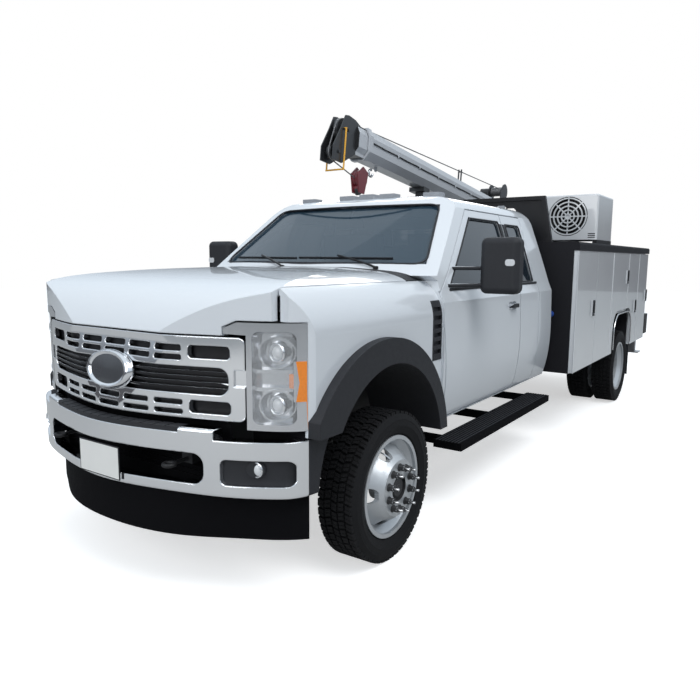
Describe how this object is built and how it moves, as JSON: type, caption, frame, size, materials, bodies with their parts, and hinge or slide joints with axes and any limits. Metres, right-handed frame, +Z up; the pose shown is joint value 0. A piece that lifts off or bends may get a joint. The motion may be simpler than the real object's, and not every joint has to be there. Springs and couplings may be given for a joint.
{
  "type": "service truck with crane",
  "caption": "Extended cab mechanics truck with twin rear wheels, side tool lockers that open, an air compressor and a telescopic service crane on the rear corner.",
  "frame": {"origin": "on the ground under the middle of the truck's length and width", "axes": "+X to the front of the truck, +Y to its left side, +Z up"},
  "size_m": [7.487, 2.67, 2.9273],
  "materials": {
    "white_paint": "gloss",
    "black_paint": "satin",
    "black_plastic": "textured",
    "bright_chrome": "polished",
    "wheel_steel": "satin",
    "tyre_rubber": "matt",
    "frame_steel": "satin",
    "cast_iron": "cast",
    "window_glass": "clear",
    "lamp_lens": "clear",
    "seat_cloth": "woven",
    "crane_grey": "gloss",
    "crane_black": "satin",
    "hook_red": "gloss",
    "exhaust_steel": "satin",
    "rod_chrome": "polished",
    "leg_steel": "satin"
  },
  "bodies": {
    "chassis": {"chassis_frame": "frame_steel", "engine": "cast_iron", "front_axle": "cast_iron", "rear_axle": "cast_iron", "exhaust": "exhaust_steel", "fuel_tank": "black_plastic", "front_bumper": "bright_chrome", "grille": "bright_chrome", "headlamps": "lamp_lens", "front_fenders": "white_paint", "splash_guards": "black_plastic", "cab_shell": "white_paint", "cab_glass": "window_glass", "cab_interior": "seat_cloth", "running_boards": "black_plastic", "body_compartments": "white_paint", "body_deck": "black_paint", "headache_rack": "black_paint", "compressor": "white_paint", "rear_bumper": "black_paint", "crane_base": "crane_black"},
    "hood": {"hood": "white_paint"},
    "tailgate": {"tailgate": "white_paint"},
    "front_door_left": {"front_door_left": "white_paint", "front_door_glass_left": "window_glass"},
    "rear_door_left": {"rear_door_left": "white_paint", "rear_door_glass_left": "window_glass"},
    "knuckle_left": {"knuckle_left": "cast_iron"},
    "front_wheel_left": {"tyre_front_left": "tyre_rubber", "wheel_front_left": "wheel_steel"},
    "rear_wheels_left": {"tyres_rear_left": "tyre_rubber", "wheels_rear_left": "wheel_steel"},
    "stabiliser_left": {"stabiliser_left": "leg_steel"},
    "body_door_a_left": {"body_door_a_left": "white_paint"},
    "body_door_b_left": {"body_door_b_left": "white_paint"},
    "body_door_c_left": {"body_door_c_left": "white_paint"},
    "body_door_d_left": {"body_door_d_left": "white_paint"},
    "body_door_e_left": {"body_door_e_left": "white_paint"},
    "front_door_right": {"front_door_right": "white_paint", "front_door_glass_right": "window_glass"},
    "rear_door_right": {"rear_door_right": "white_paint", "rear_door_glass_right": "window_glass"},
    "knuckle_right": {"knuckle_right": "cast_iron"},
    "front_wheel_right": {"tyre_front_right": "tyre_rubber", "wheel_front_right": "wheel_steel"},
    "rear_wheels_right": {"tyres_rear_right": "tyre_rubber", "wheels_rear_right": "wheel_steel"},
    "stabiliser_right": {"stabiliser_right": "leg_steel"},
    "body_door_a_right": {"body_door_a_right": "white_paint"},
    "body_door_b_right": {"body_door_b_right": "white_paint"},
    "body_door_c_right": {"body_door_c_right": "white_paint"},
    "body_door_d_right": {"body_door_d_right": "white_paint"},
    "body_door_e_right": {"body_door_e_right": "white_paint"},
    "crane_turret": {"crane_mast": "crane_grey"},
    "boom": {"boom": "crane_grey", "winch": "crane_grey"},
    "boom_extension": {"boom_extension": "crane_black", "hook_block": "hook_red"},
    "lift_cylinder": {"lift_cylinder": "crane_black"},
    "lift_rod": {"lift_rod": "rod_chrome"}
  },
  "joints": [
    {"name": "hood_hinge", "type": "hinge", "parent": "chassis", "child": "hood", "pos_m": [2.2835, 0, 1.546], "axis": [0, -1, 0], "range_deg": [0, 50]},
    {"name": "tailgate_hinge", "type": "hinge", "parent": "chassis", "child": "tailgate", "pos_m": [-3.514, 0, 0.9445], "axis": [0, -1, 0], "range_deg": [0, 90]},
    {"name": "front_door_left_hinge", "type": "hinge", "parent": "chassis", "child": "front_door_left", "pos_m": [2.0675, 1.016, 1], "axis": [0, 0, -1], "range_deg": [0, 65]},
    {"name": "rear_door_left_hinge", "type": "hinge", "parent": "chassis", "child": "rear_door_left", "pos_m": [0.3085, 1.016, 1], "axis": [0, 0, 1], "range_deg": [0, 80]},
    {"name": "steering_left", "type": "hinge", "parent": "chassis", "child": "knuckle_left", "pos_m": [2.7135, 0.79, 0.403], "axis": [0, 0, 1], "range_deg": [-38, 38]},
    {"name": "front_wheel_left_spin", "type": "hinge", "parent": "knuckle_left", "child": "front_wheel_left", "pos_m": [2.7135, 0.95, 0.403], "axis": [0, 1, 0], "continuous": true},
    {"name": "rear_wheels_left_spin", "type": "hinge", "parent": "chassis", "child": "rear_wheels_left", "pos_m": [-2.1635, 0.94, 0.403], "axis": [0, 1, 0], "continuous": true},
    {"name": "stabiliser_left_slide", "type": "slide", "parent": "chassis", "child": "stabiliser_left", "axis": [0, 0, -1], "range_m": [0, 0.375]},
    {"name": "body_door_a_left_hinge", "type": "hinge", "parent": "chassis", "child": "body_door_a_left", "pos_m": [-0.1755, 1.185, 1.1], "axis": [0, 0, -1], "range_deg": [0, 90]},
    {"name": "body_door_b_left_hinge", "type": "hinge", "parent": "chassis", "child": "body_door_b_left", "pos_m": [-1.5535, 1.185, 1.1], "axis": [0, 0, 1], "range_deg": [0, 90]},
    {"name": "body_door_c_left_hinge", "type": "hinge", "parent": "chassis", "child": "body_door_c_left", "pos_m": [-1.5635, 1.185, 1.1], "axis": [0, 0, -1], "range_deg": [0, 90]},
    {"name": "body_door_d_left_hinge", "type": "hinge", "parent": "chassis", "child": "body_door_d_left", "pos_m": [-2.3575, 1.185, 1.1], "axis": [0, 0, -1], "range_deg": [0, 90]},
    {"name": "body_door_e_left_hinge", "type": "hinge", "parent": "chassis", "child": "body_door_e_left", "pos_m": [-2.9605, 1.185, 1.1], "axis": [0, 0, -1], "range_deg": [0, 90]},
    {"name": "front_door_right_hinge", "type": "hinge", "parent": "chassis", "child": "front_door_right", "pos_m": [2.0675, -1.016, 1], "axis": [0, 0, 1], "range_deg": [0, 65]},
    {"name": "rear_door_right_hinge", "type": "hinge", "parent": "chassis", "child": "rear_door_right", "pos_m": [0.3085, -1.016, 1], "axis": [0, 0, -1], "range_deg": [0, 80]},
    {"name": "steering_right", "type": "hinge", "parent": "chassis", "child": "knuckle_right", "pos_m": [2.7135, -0.79, 0.403], "axis": [0, 0, 1], "range_deg": [-38, 38]},
    {"name": "front_wheel_right_spin", "type": "hinge", "parent": "knuckle_right", "child": "front_wheel_right", "pos_m": [2.7135, -0.95, 0.403], "axis": [0, 1, 0], "continuous": true},
    {"name": "rear_wheels_right_spin", "type": "hinge", "parent": "chassis", "child": "rear_wheels_right", "pos_m": [-2.1635, -0.94, 0.403], "axis": [0, 1, 0], "continuous": true},
    {"name": "stabiliser_right_slide", "type": "slide", "parent": "chassis", "child": "stabiliser_right", "axis": [0, 0, -1], "range_m": [0, 0.375]},
    {"name": "body_door_a_right_hinge", "type": "hinge", "parent": "chassis", "child": "body_door_a_right", "pos_m": [-0.1755, -1.185, 1.1], "axis": [0, 0, 1], "range_deg": [0, 90]},
    {"name": "body_door_b_right_hinge", "type": "hinge", "parent": "chassis", "child": "body_door_b_right", "pos_m": [-1.5535, -1.185, 1.1], "axis": [0, 0, -1], "range_deg": [0, 90]},
    {"name": "body_door_c_right_hinge", "type": "hinge", "parent": "chassis", "child": "body_door_c_right", "pos_m": [-1.5635, -1.185, 1.1], "axis": [0, 0, 1], "range_deg": [0, 90]},
    {"name": "body_door_d_right_hinge", "type": "hinge", "parent": "chassis", "child": "body_door_d_right", "pos_m": [-2.3575, -1.185, 1.1], "axis": [0, 0, 1], "range_deg": [0, 90]},
    {"name": "body_door_e_right_hinge", "type": "hinge", "parent": "chassis", "child": "body_door_e_right", "pos_m": [-2.9605, -1.185, 1.1], "axis": [0, 0, 1], "range_deg": [0, 90]},
    {"name": "crane_slew", "type": "hinge", "parent": "chassis", "child": "crane_turret", "pos_m": [-3.2165, -0.9, 1.85], "axis": [0, 0, 1], "range_deg": [-180, 180]},
    {"name": "boom_pitch", "type": "hinge", "parent": "crane_turret", "child": "boom", "pos_m": [-3.3365, -0.9, 2.29], "axis": [0, -1, 0], "range_deg": [0, 70]},
    {"name": "boom_extend", "type": "slide", "parent": "boom", "child": "boom_extension", "axis": [0.9928, 0, 0.1194], "range_m": [0, 1.6]},
    {"name": "lift_cylinder_pivot", "type": "hinge", "parent": "crane_turret", "child": "lift_cylinder", "pos_m": [-2.9765, -0.9, 1.985], "axis": [0, -1, 0], "range_deg": [0, 70.45]},
    {"name": "lift_rod_slide", "type": "slide", "parent": "lift_cylinder", "child": "lift_rod", "axis": [0.9665, 0, 0.2567], "range_m": [0, 0.5453]}
  ],
  "couplings": [
    {"joint": "steering_right", "follows": "steering_left", "ratio": 1},
    {"joint": "lift_cylinder_pivot", "follows": "boom_pitch", "ratio": 0.99923},
    {"joint": "lift_rod_slide", "follows": "boom_pitch", "m_per_rad": 0.44303}
  ]
}
